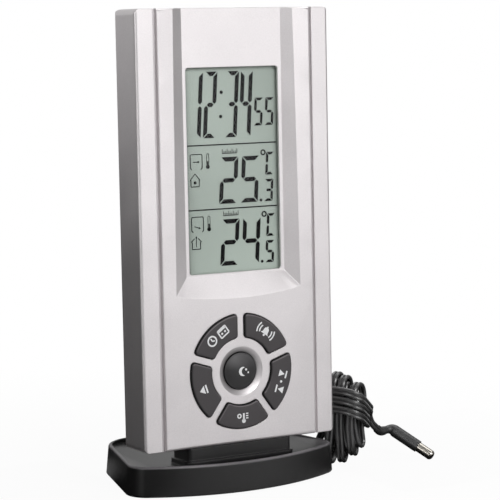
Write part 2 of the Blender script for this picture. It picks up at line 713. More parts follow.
# %% Temperature fields and the whole display
SEGMENT_Y = 3.56
SEGMENT_T = 0.05
ROOM_Z, PROBE_Z = 83.0, 61.6
DIVIDERS = (103.4, 81.3)
DIVIDER_X, DIVIDER_S = (-17.9, 18.1), 0.42
TEMP_W, TEMP_H, TEMP_S, TEMP_GAP = 6.95, 16.0, 1.5, 0.54
TENS_X, ONES_X, TENTH_X = -5.05, 3.4, 12.95
TENTH_W, TENTH_H, SMALL_GAP = 3.4, 7.7, 0.34
POINT_X, POINT_UP, POINT_R = 11.7, 0.5, 0.52
DEGREE_X, DEGREE_UP, DEGREE_R, DEGREE_S = 12.85, 17.0, 0.8, 0.46
UNIT_X, UNIT_UP, UNIT_W, UNIT_H = 13.6, 9.2, 3.15, 7.9
SCALE_X, SCALE_UP = (-3.4, 2.4), 17.3
BRACKET_X, BRACKET_UP = (-16.0, -11.4), (12.2, 17.4)
BULB_X, BULB_UP, BULB_H = -9.2, 12.3, 5.2
HOUSE_X, HOUSE_UP = (-15.9, -12.7), (6.4, 10.8)
ARROW_ROOM = ((-15.0, 14.8), (-12.4, 14.8))
ARROW_PROBE = ((-14.9, 14.2), (-12.5, 13.4))
ARROW_HEAD, ARROW_S = 0.75, 0.25
BACK_WAY = GROMMET_WAY


def temperature_field(z, tens, ones, tenth, way, open_roof):
    """One field: signs at the left, a scale, two tall figures, a degree sign and a tenth."""
    out = []
    for sign, x in ((tens, TENS_X), (ones, ONES_X)):
        out += figure(sign, x, z, TEMP_W, TEMP_H, TEMP_S, TEMP_GAP)
    out += figure(tenth, TENTH_X, z, TENTH_W, TENTH_H, SMALL_S, SMALL_GAP)
    out += [disc(POINT_X, z + POINT_UP, POINT_R, 16)]
    out += ring_bands(DEGREE_X, z + DEGREE_UP, DEGREE_R, DEGREE_S)
    out += figure("C", UNIT_X, z + UNIT_UP, UNIT_W, UNIT_H, SMALL_S, SMALL_GAP)
    out += scale_sign(*SCALE_X, z + SCALE_UP)
    out += bracket_box(*BRACKET_X, z + BRACKET_UP[0], z + BRACKET_UP[1])
    out += thermometer_sign(BULB_X, z + BULB_UP, BULB_H)
    out += arrow(*[(x, z + up) for x, up in way], ARROW_HEAD, ARROW_S)
    return out + house_sign(*HOUSE_X, z + HOUSE_UP[0], z + HOUSE_UP[1], open_roof)


def divider(z):
    """Thin line right across the display."""
    return lines([(DIVIDER_X[0], z), (DIVIDER_X[1], z)], DIVIDER_S)


def on_display(q):
    """Outline in x and height, on the segments' plane."""
    return on_case(np.stack([q[:, 0], np.full(len(q), SEGMENT_Y), q[:, 1]], -1))


ink = clock_field()
ink += divider(DIVIDERS[0]) + temperature_field(ROOM_Z, "2", "5", "3", ARROW_ROOM, False)
ink += divider(DIVIDERS[1]) + temperature_field(PROBE_Z, "2", "4", "5", ARROW_PROBE, True)
ink_mesh = print_mesh("display_segments", ink, on_display, BACK_WAY * SEGMENT_T)
segments = add_object("display_segments", ink_mesh, "case")
print("segments:", len(ink))

# %% [markdown]
# ## The keys
# Each arc key is a slice of a ring with round corners. Its sides run parallel to the gaps,
# not to the radius, so the outline is two arcs and four corner arcs. It is drawn once for
# any growth g, and lofted through a few depths: the flange that holds the key in the case,
# the upright side, and a quarter round to the flat top. A Bevel modifier could round the top,
# but the loft also knows which rows are side, shoulder and top. It keeps that as an
# attribute, rim, and the way each point faces as another, for the finish to read.

# %% Arc keys
RING_Z = 25.1
RING_RO, RING_RI = 20.0, 11.8
KEY_GAP, KEY_CORNER, KEY_PITCH = 2.8, 1.1, 72.0
KEY_TOP = -1.5
KEY_ROUND, ROUND_STEPS = 0.7, 8
FLANGE_Y, FLANGE_T, FLANGE_W = 2.1, 0.9, 1.1
KEY_FIRST = 54.0
KEY_ORDER = ("key_upper_right", "key_upper_left", "key_left", "key_bottom", "key_right")
KEY_ANGLES = {name: KEY_FIRST + k * KEY_PITCH for k, name in enumerate(KEY_ORDER)}
CORNER_STEPS, OUTER_STEPS, INNER_STEPS = 8, 40, 28
KEY_SHARP = 50


def arc_points(centre, r, a0, a1, n):
    """n + 1 points on an arc, angles in degrees."""
    f = np.radians(np.linspace(a0, a1, n + 1))
    return np.asarray(centre) + r * np.stack([np.cos(f), np.sin(f)], -1)


def near(p, angle):
    """Angle of a point in degrees, within half a turn of another angle."""
    a = math.degrees(math.atan2(p[1], p[0]))
    return a + 360 * round((angle - a) / 360)


def key_outline(angle, g):
    """Ring slice grown by g: outer arc, two corners, inner arc, two corners. A corner's middle lies
    half a gap and a corner's radius beside the line between two keys."""
    def corner(side, radius):
        b = KEY_GAP / 2 + KEY_CORNER
        a = math.radians(angle + side * KEY_PITCH / 2)
        u = np.array([math.cos(a), math.sin(a)])
        return u * math.sqrt(radius**2 - b**2) + np.array([u[1], -u[0]]) * side * b

    r = KEY_CORNER + g
    o0, o1 = corner(-1, RING_RO - KEY_CORNER), corner(1, RING_RO - KEY_CORNER)
    i0, i1 = corner(-1, RING_RI + KEY_CORNER), corner(1, RING_RI + KEY_CORNER)
    a_o0, a_o1, a_i0, a_i1 = near(o0, angle), near(o1, angle), near(i0, angle), near(i1, angle)
    side0, side1 = angle - KEY_PITCH / 2 - 90, angle + KEY_PITCH / 2 + 90
    return np.vstack([
        arc_points(o0, r, side0, a_o0, CORNER_STEPS),
        arc_points((0, 0), RING_RO + g, a_o0, a_o1, OUTER_STEPS)[1:-1],
        arc_points(o1, r, a_o1, side1, CORNER_STEPS),
        arc_points(i1, r, side1, a_i1 + 180, CORNER_STEPS),
        arc_points((0, 0), RING_RI - g, a_i1, a_i0, INNER_STEPS)[1:-1],
        arc_points(i0, r, a_i0 + 180, side0 + 360, CORNER_STEPS)])


def key_rings(angle):
    """Outline at each depth: flange, side, a quarter round of radius KEY_ROUND, and the top."""
    f = np.linspace(0, np.pi / 2, ROUND_STEPS)
    steps = [(FLANGE_Y + FLANGE_T, FLANGE_W), (FLANGE_Y, FLANGE_W), (FLANGE_Y, 0.0)]
    steps += list(zip(KEY_TOP + KEY_ROUND * (1 - np.sin(f)), -KEY_ROUND * (1 - np.cos(f))))
    rows = []
    for depth, g in steps:
        q = key_outline(angle, g)
        rows.append(np.stack([q[:, 0], np.full(len(q), depth), q[:, 1] + RING_Z], -1))
    return on_case(np.stack(rows))


KEY_RIM = [1] * 6 + [0.75, 0.3] + [0] * 3
key_pieces = {}
for name, angle in KEY_ANGLES.items():
    rings = key_rings(angle)
    key_pieces[name] = add_object(name + "_cap", tube_mesh(name + "_cap", rings, KEY_SHARP), name)
    mark_rows(key_pieces[name].data, "rim", KEY_RIM, rings.shape[1])
    mark_upward(key_pieces[name].data)
    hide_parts(name)
print("arc keys:", len(key_pieces))

# %% [markdown]
# The middle key is a dome. It is a profile of a few radii and depths, turned round its
# axis: the flange below, the upright side, a small round at the rim and a spherical top.

# %% Domed key
DOME_R, DOME_RISE = 6.4, 1.9
DOME_EDGE_Y = 0.1
DOME_BALL = (DOME_R**2 + DOME_RISE**2) / (2 * DOME_RISE)
DOME_FLANGE_R = 7.75
DOME_ROUND, DOME_TURN, DOME_SIDE = 0.35, 1.3, 0.5
DOME_EYE = 0.05
RIM_STEPS, BALL_STEPS, DOME_SIDES = 6, 16, 96


def dome_depth(rho):
    """Depth of the dome's sphere at a distance rho from its axis."""
    return DOME_EDGE_Y - DOME_RISE + DOME_BALL - np.sqrt(DOME_BALL**2 - rho**2)


def dome_rings(n):
    """Profile turned round the key's axis: flange, side, a round of radius DOME_ROUND through
    DOME_TURN radians, and the sphere up to a small eye at the top."""
    rim = DOME_R - DOME_ROUND
    edge = dome_depth(rim)
    g = np.linspace(0, DOME_TURN, RIM_STEPS)
    ball = np.linspace(rim, DOME_EYE, BALL_STEPS)
    rho = np.concatenate([[DOME_FLANGE_R] * 2, [DOME_R] * 2, rim + DOME_ROUND * np.cos(g), ball])
    depth = np.concatenate([[FLANGE_Y + FLANGE_T, FLANGE_Y, FLANGE_Y, edge + DOME_SIDE],
                            edge + DOME_ROUND * (1 - np.sin(g)), dome_depth(ball)])
    f = np.arange(n) * 2 * np.pi / n
    ring = np.stack([np.cos(f), np.sin(f)], -1)
    x = rho[:, None] * ring[None, :, 0]
    z = rho[:, None] * ring[None, :, 1] + RING_Z
    return on_case(np.stack([x, np.repeat(depth[:, None], n, 1), z], -1))


DOME_RIM = [1] * 6 + [0.7, 0.3] + [0] * 18
dome_mesh = tube_mesh("key_centre_dome", dome_rings(DOME_SIDES), KEY_SHARP)
dome = add_object("key_centre_dome", dome_mesh, "key_centre")
mark_rows(dome.data, "rim", DOME_RIM, DOME_SIDES)
mark_upward(dome.data)
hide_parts("key_centre")
print("dome faces:", len(dome.data.polygons))

# %% [markdown]
# ## Signs on the keys
# The keys carry small white prints. Plain pictograms say what a key does: a dial beside a
# calendar leaf, a bell, two arrows to their stops, a degree ring beside a thermometer, an
# arrow over a bar, and a moon with two dots on the dome. They are thin slabs on the key tops,
# turned so that each reads along its arc. All points are in millimetres from a sign's middle.

# %% White signs
SIGN_T = 0.03
SIGN_R = 16.2
MOON_STRIPS = 24


def dial_sign():
    """Clock dial with two hands, beside a calendar leaf."""
    dial_x, leaf_x0, leaf_x1, leaf_low, leaf_top = -2.5, 0.6, 3.9, -1.5, 1.2
    out = ring_bands(dial_x, 0, r=1.5, width=0.52)
    out += lines([(dial_x, 0.95), (dial_x, 0), (dial_x + 0.75, -0.4)], width=0.44)
    out += lines([(leaf_x0, leaf_low), (leaf_x0, leaf_top), (leaf_x1, leaf_top), (leaf_x1, leaf_low),
                  (leaf_x0, leaf_low)], width=0.46)
    out += lines([(leaf_x0, 0.75), (leaf_x1, 0.75)], width=0.6)
    return out + [disc(x, -0.42, r=0.36, n=12) for x in (1.6, 2.9)]


def bell_sign():
    """Bell with a clapper and two sound arcs on each side."""
    f = np.radians(np.linspace(0, 180, 14))
    crown = np.stack([np.cos(f), 0.4 + np.sin(f)], -1)
    body = np.vstack([crown, [(-1.05, -0.35), (-1.6, -0.95), (1.6, -0.95), (1.05, -0.35)]])
    out = [body, disc(0, -1.35, r=0.4, n=12), disc(0, 1.5, r=0.3, n=10)]
    for r in (2.35, 3.4):
        out += [arc_band(0, 0, r, 0.48, start, start + 60, 10) for start in (-30, 150)]
    return out


def stops_sign():
    """Filled arrow up to a bar, a dot, and filled arrow down to a bar."""
    apart, bar = 2.5, 0.55
    up = np.array([(-1.1, -1.5), (1.1, -1.5), (0, 0.55)])
    out = [up - (apart, 0), (apart, 0) - up, disc(0, 0, r=0.42, n=14)]
    return out + lines([(-3.7, 1.15), (-1.3, 1.15)], bar) + lines([(1.3, -1.15), (3.7, -1.15)], bar)


def degree_sign():
    """Degree ring beside a filled thermometer with three ticks."""
    tube_x = 0.1
    out = ring_bands(-1.75, 0.75, r=0.68, width=0.46)
    out += [disc(tube_x, -1.15, r=0.8, n=20), stroke([(tube_x, -1.2), (tube_x, 1.7)], width=0.75)]
    return out + [stroke([(1.0, z), (2.0, z)], width=0.4) for z in (-0.2, 0.65, 1.5)]


def rise_sign():
    """Filled arrow head over a short bar."""
    return [np.array([(-1.5, -0.3), (1.5, -0.3), (0, 1.7)])] + lines([(-1.5, -1.1), (1.5, -1.1)], width=0.6)


def moon_sign():
    """Filled crescent between two circles whose middles lie apart, in narrow strips that follow the
    dome, with two stars as dots."""
    outer = arc_points((0, 0), 1.6, 57.4, 302.6, MOON_STRIPS)
    inner = arc_points((0.8, 0), 1.35, 87.4, 272.6, MOON_STRIPS)
    strips = np.stack([outer[:-1], outer[1:], inner[1:], inner[:-1]], 1)
    return list(strips[1:-1]) + [disc(1.25, 0.6, r=0.42, n=12), disc(2.15, -0.5, r=0.36, n=12)]


def on_key(q):
    """Outline in x and height, just over the arc keys' tops."""
    return on_case(np.stack([q[:, 0], np.full(len(q), KEY_TOP - SIGN_T), q[:, 1] + RING_Z], -1))


def on_dome(q):
    """Outline in x and height, just over the dome."""
    rho = np.linalg.norm(q, axis=1)
    return on_case(np.stack([q[:, 0], dome_depth(rho) - SIGN_T, q[:, 1] + RING_Z], -1))


print("moon outlines:", len(moon_sign()))

# %% Put the signs on the keys
# each key's sign, its turn in degrees and its size
KEY_SIGNS = {"key_upper_left": (dial_sign, 36, 1.1), "key_upper_right": (bell_sign, -36, 1.05),
             "key_right": (stops_sign, -108, 1.1), "key_bottom": (degree_sign, 0, 0.95),
             "key_left": (rise_sign, 108, 1.0)}
signs = []
for name, (sign, turn, size) in KEY_SIGNS.items():
    angle = math.radians(KEY_ANGLES[name])
    at = (SIGN_R * math.cos(angle), SIGN_R * math.sin(angle))
    outlines = turned([np.asarray(q) * size for q in sign()], turn, at)
    mesh = print_mesh(name + "_sign", outlines, on_key, BACK_WAY * SIGN_T)
    signs.append(add_object(name + "_sign", mesh, name))
mesh = print_mesh("key_centre_sign", moon_sign(), on_dome, BACK_WAY * SIGN_T)
signs.append(add_object("key_centre_sign", mesh, "key_centre"))
print("signs:", len(signs))

# %% [markdown]
# ## Skins for the large mouldings
# The case, the stand and the covers have the right shape as solids. Their triangles are
# loose, so a curved wall shades in flat strips. A copy with its points joined shades
# smoothly, and the edges that really are sharp stay sharp.

# %% Smooth copies
# each node's body, and the angle in degrees past which an edge stays sharp
SKINS = {"front_case": ("case", 11), "rear_cover": ("case", 14), "stand": ("stand", 15),
         "battery_door": ("battery_door", 15), "cable_grommet": ("case", 25)}
skins = {}
for node, (body, sharp_deg) in SKINS.items():
    skins[node] = add_object(node + "_skin", merged_copy(node, sharp_deg), body)
    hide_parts(node)
print("skins:", len(skins))

# %% [markdown]
# ## Finishes
# A finish is a small network of nodes. A class wraps one socket, so that a formula such as
# 0.3 + 0.1 * grain adds its Math nodes by itself, and one method adds any other node. Only
# colour, roughness, metal, coat and the normal change over a surface; all else is a number
# on the shader.

# %% Wires
class Wire:
    """A socket in a material. Sums and products with it add Math nodes."""

    def __init__(self, tree, socket=None):
        self.tree = tree
        self.socket = socket

    def node(self, kind, settings=None, inputs=None, out=0):
        """Adds a node, sets it up, fills or links its sockets, and returns one output."""
        made = self.tree.nodes.new(kind)
        for name, value in (settings or {}).items():
            setattr(made, name, value)
        for name, value in (inputs or {}).items():
            if isinstance(value, Wire):
                self.tree.links.new(value.socket, made.inputs[name])
            else:
                made.inputs[name].default_value = value
        return Wire(self.tree, made.outputs[out])

    def maths(self, operation, a, b=0.0):
        """Math node of an operation on a and b."""
        return self.node("ShaderNodeMath", {"operation": operation}, {0: a, 1: b})

    def __add__(self, other):
        return self.maths("ADD", self, other)

    def __radd__(self, other):
        return self.maths("ADD", other, self)

    def __sub__(self, other):
        return self.maths("SUBTRACT", self, other)

    def __rsub__(self, other):
        return self.maths("SUBTRACT", other, self)

    def __mul__(self, other):
        return self.maths("MULTIPLY", self, other)

    def __rmul__(self, other):
        return self.maths("MULTIPLY", other, self)

    def noise(self, scale, detail=2.0, rough=0.5, where=None):
        """Cloudy value about 0.5, scale features to the metre."""
        return self.node("ShaderNodeTexNoise", None, {"Vector": where or self, "Scale": scale,
                                                      "Detail": detail, "Roughness": rough})

    def axis(self, k):
        """One part of a vector: x, y or z for k = 0, 1 or 2."""
        return self.node("ShaderNodeSeparateXYZ", None, {0: self}, k)

    def attribute(self, name):
        """Value of a mesh attribute."""
        return self.node("ShaderNodeAttribute", {"attribute_name": name}, None, "Fac")

    def mix(self, a, b):
        """Colour a where this value is 0 and b where it is 1."""
        return self.node("ShaderNodeMix", {"data_type": "RGBA"}, {0: self, 6: a, 7: b}, 2)

    def band(self, low, high):
        """0 below low, 1 above high, straight between."""
        return self.node("ShaderNodeMapRange", {"clamp": True}, {0: self, 1: low, 2: high, 3: 0.0, 4: 1.0})


print("wires ready:", Wire.__name__)


# %% Materials from wires
def shader(name, **sockets):
    """New material: its Principled shader with plain numbers set, and a wire of Object coordinates."""
    material = bpy.data.materials.new(name)
    material.use_nodes = True
    tree = material.node_tree
    principled = tree.nodes["Principled BSDF"]
    for socket, value in sockets.items():
        principled.inputs[socket.replace("_", " ")].default_value = value
    place = Wire(tree).node("ShaderNodeTexCoord", out="Object")
    return material, principled, place


def feed(principled, **wires):
    """Links wires to the shader's sockets."""
    for socket, wire in wires.items():
        wire.tree.links.new(wire.socket, principled.inputs[socket.replace("_", " ")])


def shaded(colour, k):
    """Colour times k."""
    return (colour[0] * k, colour[1] * k, colour[2] * k, 1.0)


def relief(height, strength, distance, edge=None):
    """Bump of a height wire; edge rounds off sharp edges to that radius."""
    inputs = {"Height": height, "Strength": strength, "Distance": distance}
    if edge:
        inputs["Normal"] = height.node("ShaderNodeBevel", {"samples": 6}, {"Radius": edge})
    return height.node("ShaderNodeBump", None, inputs)


def speckle(fine, cloud, colour, mottle):
    """Colour that wanders by mottle either way with a fine grain and a wide cloud."""
    share = (0.4 * fine + 0.6 * cloud).band(0.3, 0.7)
    return share.mix(shaded(colour, 1 - mottle), shaded(colour, 1 + mottle))


print("materials of the frame:", len(bpy.data.materials))

# %% [markdown]
# ### Silver paint
# The case is moulded plastic with a sprayed silver lacquer: fine flakes in a clear binder.
# It shines broadly like metal, but keeps a soft grey of its own, so the shader is mostly
# metal with a broad gloss. A fine noise makes the flakes, a wide one the slight unevenness
# of a sprayed coat, and a rounded edge gives the thin bright lines along the mouldings. The
# spray hardly reaches the bottom of the dish round the middle key, so it is rougher there, and
# darker at the upper left.

# %% Silver paint finish
DISH_R = 8.6 * MM
DISH_EDGE = (0.72 * DISH_R, 1.02 * DISH_R)
DISH_SIDE = (0.1, 0.95)
DIAGONAL = 0.7071
DISH_DARK = 0.14
SILVER = (0.80, 0.765, 0.775, 1.0)


def dish_shade(place):
    """How deep a point lies in the dish round the middle key (0 at its edge and outside), and how
    much of that is on the upper left, from the distance along the falling diagonal."""
    middle = on_case([0, 0, RING_Z]) * MM
    x, z = place.axis(0) - middle[0], place.axis(2) - middle[2]
    inside = 1 - place.maths("SQRT", x * x + z * z).band(*DISH_EDGE)
    upper_left = 1 - ((x - z) * (DIAGONAL / DISH_R)).band(*DISH_SIDE)
    return inside, inside * (0.25 + 0.75 * upper_left)


def silver_paint(name, colour, edge):
    """Metallic lacquer with flakes, cloudy roughness, rounded edges and a dull dish."""
    material, principled, place = shader(name, Metallic=0.78, Coat_Weight=0.12, Coat_Roughness=0.25)
    flake = place.noise(2600.0, 3.0, 0.6)
    cloud = place.noise(55.0)
    tint = (0.55 * flake + 0.45 * cloud).band(0.32, 0.68)
    inside, dark = dish_shade(place)
    coat = tint.mix(shaded(colour, 0.93), shaded(colour, 1.05))
    feed(principled, Base_Color=dark.mix(coat, shaded(colour, DISH_DARK)),
         Roughness=0.33 + 0.06 * cloud + 0.03 * flake + 0.26 * inside,
         Normal=relief(flake, 0.05, 0.00008, edge))
    return material


silver = silver_paint("silver_paint", SILVER, edge=0.00035)
cover_silver = silver_paint("cover_silver", shaded(SILVER, 0.94), edge=0.0003)
print("silver:", silver.name, cover_silver.name)

# %% [markdown]
# ### Black mouldings, rubber and keys
# The stand is black plastic with a fine spark-eroded grain, rubbed pale along the round of
# its rim. The keys are a dark warm grey, nearly black down their sides, and paler on the
# shoulders that face up, where fingers polish them. Rubber and the other mouldings
# are plain. The plain ones come from one function with different numbers; the stand and the
# keys add a mask each, from Object coordinates and from the attributes that the loft kept.

# %% Plain mouldings
def moulded(name, colour, rough, grain, depth, edge=None, mottle=0.12, specular=0.5):
    """Plain moulding: colour with a slight mottle, grain per metre, and bump of that depth."""
    material, principled, place = shader(name, Specular_IOR_Level=specular)
    fine = place.noise(grain, 3.0, 0.6)
    cloud = place.noise(grain / 45.0)
    feed(principled, Base_Color=speckle(fine, cloud, colour, mottle),
         Roughness=(rough - 0.05) + 0.06 * cloud + 0.04 * fine, Normal=relief(fine, 0.25, depth, edge))
    return material


foot_rubber = moulded("foot_rubber", (0.02, 0.02, 0.02, 1), 0.75, 2000.0, 0.00008)
grommet_rubber = moulded("grommet_rubber", (0.018, 0.018, 0.018, 1), 0.6, 2500.0, 0.00005, 0.0002)
mat_silicone = moulded("mat_silicone", (0.28, 0.28, 0.285, 1), 0.55, 1800.0, 0.00005)
white_plastic = moulded("white_plastic", (0.72, 0.72, 0.69, 1), 0.45, 1800.0, 0.00004, 0.0002, 0.04)
chip_epoxy = moulded("chip_epoxy", (0.012, 0.012, 0.012, 1), 0.25, 900.0, 0.00006)
sensor_bead = moulded("sensor_bead", (0.09, 0.055, 0.03, 1), 0.3, 1500.0, 0.00004)
sign_white = moulded("sign_white", (0.86, 0.86, 0.87, 1), 0.5, 4000.0, 0.00001, mottle=0.05)
sleeve_grey = moulded("sleeve_grey", (0.034, 0.0345, 0.035, 1), 0.42, 7000.0, 0.000004,
                      mottle=0.06, specular=1.0)
segment_ink = moulded("segment_ink", (0.005, 0.0045, 0.005, 1), 0.6, 4000.0, 0.00001, specular=0.05)
print("plain mouldings, the last:", segment_ink.name)

# %% Keys and stand
KEY_SIDE = (0.0015, 0.0015, 0.0018, 1)
SHOULDER, SHOULDER_TINT = (0.1, 0.6), 4.0
RIM_X, RIM_Y = (0.029, 0.030), (0.021, 0.0215)
RIM_FOOT, RIM_TOP = (0.0102, 0.0108), (0.0111, 0.0113)
RUBBED, RUBBED_TINT = 0.8, 32.0


def key_finish(name, colour, rough):
    """Moulding with a fine grain, near black down the sides, where the rim attribute is 1, and
    rubbed paler by fingers where its shoulder faces up."""
    material, principled, place = shader(name)
    fine = place.noise(3000.0, 3.0, 0.6)
    cloud = place.noise(70.0)
    rim = place.attribute("rim")
    rubbed = place.attribute("upward").band(*SHOULDER) * (1 - rim)
    top = rubbed.mix(speckle(fine, cloud, colour, 0.1), shaded(colour, SHOULDER_TINT))
    feed(principled, Base_Color=rim.mix(top, KEY_SIDE),
         Roughness=(rough - 0.05) + 0.1 * cloud + 0.3 * rim, Normal=relief(fine, 0.25, 0.00003))
    return material


def stand_finish(name, colour, rough):
    """Coarse-grained black moulding. The rubbed line is a mask: outside RIM_X at the sides or
    RIM_Y in front, above RIM_FOOT and below RIM_TOP."""
    material, principled, place = shader(name, Sheen_Weight=0.03)
    fine = place.noise(2600.0, 3.0, 0.6)
    cloud = place.noise(58.0)
    sides = place.maths("ABSOLUTE", place.axis(0)).band(*RIM_X)
    outer = place.maths("MAXIMUM", sides, (0 - place.axis(1)).band(*RIM_Y))
    height = place.axis(2)
    rubbed = outer * height.band(*RIM_FOOT) * (1 - height.band(*RIM_TOP)) * (0.5 + cloud)
    tint = speckle(fine, cloud, colour, 0.35)
    feed(principled, Base_Color=(RUBBED * rubbed).mix(tint, shaded(colour, RUBBED_TINT)),
         Roughness=(rough - 0.05) + 0.06 * cloud + 0.04 * fine, Normal=relief(fine, 0.25, 0.00006, 0.0009))
    return material


stand_black = stand_finish("stand_black", (0.007, 0.0066, 0.007, 1), 0.35)
key_grey = key_finish("key_grey", (0.052, 0.046, 0.049, 1), 0.44)
dome_black = key_finish("dome_black", (0.028, 0.027, 0.028, 1), 0.5)
print("keys and stand:", key_grey.name, dome_black.name, stand_black.name)

# %% [markdown]
# ### Metals
# The probe's tip is plated, the screws and contacts are steel and nickel, and the sounder is
# brass. One function makes them all: full metal, with fine scratches that vary the gloss. The
# scratches are noise on stretched coordinates, which needs no picture.

# %% Plated and drawn metals
def metal(name, colour, rough, grain, stretch, depth=0.00003, edge=0.00012):
    """Plated or drawn metal: fine scratches, drawn out along an axis whose scale is below one,
    vary its gloss."""
    material, principled, place = shader(name, Metallic=1.0)
    along = place.node("ShaderNodeMapping", None, {"Vector": place, "Scale": stretch})
    scratch = place.noise(grain, 4.0, 0.65, along)
    cloud = place.noise(grain / 20.0)
    feed(principled, Base_Color=cloud.band(0.3, 0.7).mix(shaded(colour, 0.9), colour),
         Roughness=(rough - 0.06) + 0.12 * scratch, Normal=relief(scratch, 0.08, depth, edge))
    return material


EVEN = (1.0, 1.0, 1.0)
tip_nickel = metal("tip_nickel", (0.78, 0.74, 0.665, 1), 0.25, 900.0, EVEN, 0.0000002, None)
screw_steel = metal("screw_steel", (0.55, 0.55, 0.57, 1), 0.3, 2500.0, EVEN)
crystal_can = metal("crystal_can", (0.66, 0.66, 0.68, 1), 0.25, 2500.0, (0.2, 1.0, 1.0))
contact_nickel = metal("contact_nickel", (0.72, 0.70, 0.64, 1), 0.28, 2500.0, (1.0, 0.3, 1.0))
buzzer_brass = metal("buzzer_brass", (0.74, 0.56, 0.25, 1), 0.3, 1500.0, EVEN)
print("metals, the last:", buzzer_brass.name)

# %% [markdown]
# ### Display and lens
# The reflector is a satin grey-green sheet. It lies deep in its window, so its left and upper
# edges are dim, and its foot is a little paler. The lens over it is clear with a faint
# reflection. Real glass would need many bounces of light, so a thin mirror that lets nearly
# all light through does the same.

# %% Display finishes
GREEN = (0.40, 0.463, 0.416, 1)
EDGE_X, EDGE_Z, FOOT_Z = -17.5, 131.2, 58.0
LEFT_FADE, TOP_FADE, FOOT_FADE = 0.0018, 0.0022, 0.028
EDGE_TINT, FOOT_TINT, FOOT_SHARE = 0.34, 1.3, 0.85


def reflector_finish(name):
    """Grey-green reflector with a fine even grain. It dims with the square of the way into the
    left and upper edges, and gets paler from FOOT_FADE above its foot downwards."""
    material, principled, place = shader(name, Metallic=0.15)
    grain = place.noise(5000.0)
    cloud = place.noise(40.0)
    left = EDGE_X * MM
    top, foot = on_case([[0.0, REFLECTOR_Y, EDGE_Z], [0.0, REFLECTOR_Y, FOOT_Z]])[:, 2] * MM
    height = place.axis(2)
    from_left = 1 - place.axis(0).band(left, left + LEFT_FADE)
    from_top = 1 - (0 - height).band(-top, TOP_FADE - top)
    dim = place.maths("MAXIMUM", from_left * from_left, from_top * from_top)
    even = (0.5 * grain + 0.5 * cloud).band(0.3, 0.7).mix(shaded(GREEN, 0.97), shaded(GREEN, 1.03))
    low = FOOT_SHARE - FOOT_SHARE * height.band(foot, foot + FOOT_FADE)
    feed(principled, Base_Color=dim.mix(low.mix(even, shaded(GREEN, FOOT_TINT)), shaded(GREEN, EDGE_TINT)),
         Roughness=0.5 + 0.1 * grain, Normal=relief(grain, 0.03, 0.00002))
    return material


def lens_finish(name):
    """Clear lens: a faint mirror over what lies behind it, with a few soft smears in the gloss."""
    material, principled, place = shader(name, Metallic=1.0, Alpha=0.01, Base_Color=(0.95, 0.97, 0.97, 1.0))
    feed(principled, Roughness=0.05 + 0.05 * place.noise(70.0, 3.0))
    return material


display_grey = reflector_finish("display_grey")
clear_lens = lens_finish("clear_lens")
print("display:", display_grey.name, clear_lens.name)

# %% [markdown]
# ### Cable jacket and the inner pieces
# The jacket is smooth extruded plastic: a coat gives its soft sheen. The inner pieces show
# only when the case is open, so each has a short pattern of its own: tracks on the board, a
# pale band on the cell, thin layers in the contact rubber.

# %% Jackets, board, cell and contact strip
CELL_SLATE, CELL_PALE = (0.075, 0.10, 0.12, 1), (0.45, 0.46, 0.47, 1)
CELL_BAND = (0.0085, 0.0089)


def jacket(name, colour, rough):
    """Smooth extruded jacket: a soft sheen with slow changes of gloss along it."""
    material, principled, place = shader(name, Specular_IOR_Level=0.9, Coat_Weight=1.0, Coat_Roughness=0.32)
    slow = place.noise(160.0)
    fine = place.noise(3500.0)
    feed(principled, Base_Color=slow.band(0.3, 0.7).mix(shaded(colour, 0.85), shaded(colour, 1.2)),
         Roughness=(rough - 0.06) + 0.12 * slow, Normal=relief(fine, 0.15, 0.00003))
    return material


def board_finish():
    """Green solder mask over a grid of copper tracks."""
    material, principled, place = shader("board_green")
    flat = place.node("ShaderNodeMapping", None, {"Vector": place, "Rotation": (math.pi / 2, 0, 0)})
    tracks = place.node("ShaderNodeTexBrick", {"offset": 0.35}, {
        "Vector": flat, "Color1": (0, 0, 0, 1), "Color2": (0, 0, 0, 1), "Mortar": (1, 1, 1, 1), "Scale": 160.0,
        "Mortar Size": 0.06, "Mortar Smooth": 0.1})
    grain = place.noise(900.0)
    feed(principled, Base_Color=tracks.mix((0.02, 0.12, 0.045, 1), (0.06, 0.24, 0.09, 1)),
         Roughness=0.35 + 0.15 * grain, Normal=relief(tracks, 0.2, 0.00004))
    return material


def cell_finish():
    """Plain cell jacket: slate grey over most of its length, a pale band near the button end."""
    material, principled, place = shader("cell_jacket", Metallic=0.6)
    band = place.axis(0).band(*CELL_BAND)
    grain = place.noise(800.0, 3.0)
    feed(principled, Base_Color=band.mix(CELL_SLATE, CELL_PALE),
         Roughness=0.25 + 0.12 * grain, Normal=relief(grain, 0.05, 0.00003))
    return material


def stripe_finish():
    """Contact rubber: thin dark and pale layers in turn."""
    material, principled, place = shader("contact_rubber", Roughness=0.7)
    stripes = place.node("ShaderNodeTexWave", {"bands_direction": "X"}, {"Vector": place, "Scale": 900.0})
    feed(principled, Base_Color=stripes.band(0.45, 0.55).mix((0.02, 0.02, 0.02, 1), (0.35, 0.33, 0.32, 1)),
         Normal=relief(stripes, 0.1, 0.00003))
    return material


cable_black = jacket("cable_black", (0.036, 0.0355, 0.036, 1), 0.36)
wire_red = jacket("wire_red", (0.45, 0.03, 0.02, 1), 0.4)
board_green = board_finish()
cell_jacket = cell_finish()
contact_rubber = stripe_finish()
print("inner finishes:", board_green.name, cell_jacket.name, contact_rubber.name)

# %% [markdown]
# ### Which finish goes where
# Every solid of the frame gets a finish by its name. The new pieces, which stand in for some
# of the solids, get theirs after that.

